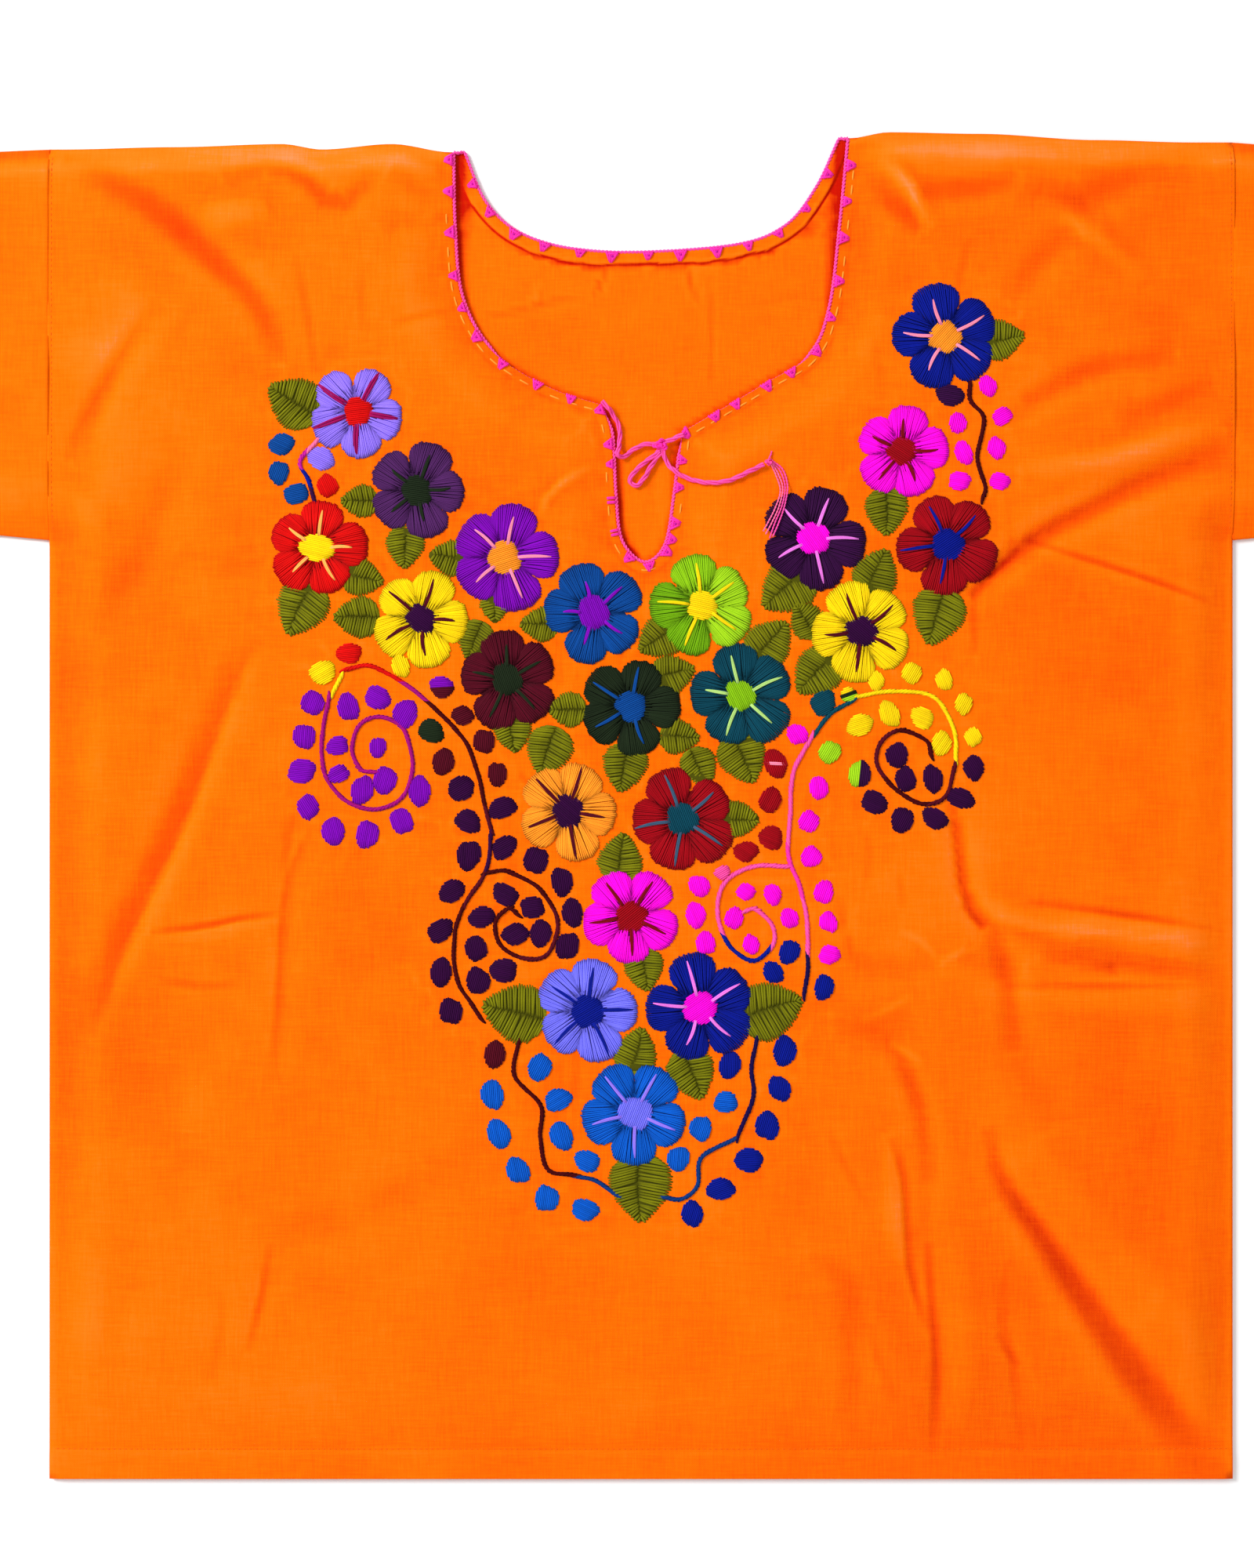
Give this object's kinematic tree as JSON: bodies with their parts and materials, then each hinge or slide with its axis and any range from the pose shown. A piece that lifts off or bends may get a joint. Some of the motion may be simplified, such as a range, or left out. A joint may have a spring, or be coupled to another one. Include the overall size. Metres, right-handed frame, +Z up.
{
  "type": "embroidered blouse",
  "caption": "Loose round-necked blouse with short plain sleeves, raised flower embroidery and a yarn tie over a slit at the throat, laid flat with its front up.",
  "frame": {"origin": "on the floor, under the middle of the laid-out garment", "axes": "+Z up out of the front, +X across the garment toward the viewer's right, +Y toward the neck"},
  "size_m": [0.96, 0.8076, 0.0106],
  "materials": {
    "cotton": "matte orange plain-weave cotton",
    "yarn": "matte pink embroidery yarn"
  },
  "bodies": {
    "root": {"front_panel": "cotton", "back_panel": "cotton", "sleeve_left": "cotton", "sleeve_right": "cotton", "edging_front": "yarn", "edging_back": "yarn", "tie_strand_left": "yarn", "tie_strand_right": "yarn", "tie_bow": "yarn", "tie_free_end": "yarn", "tie_knot": "yarn", "tie_tassel": "yarn"}
  },
  "joints": []
}
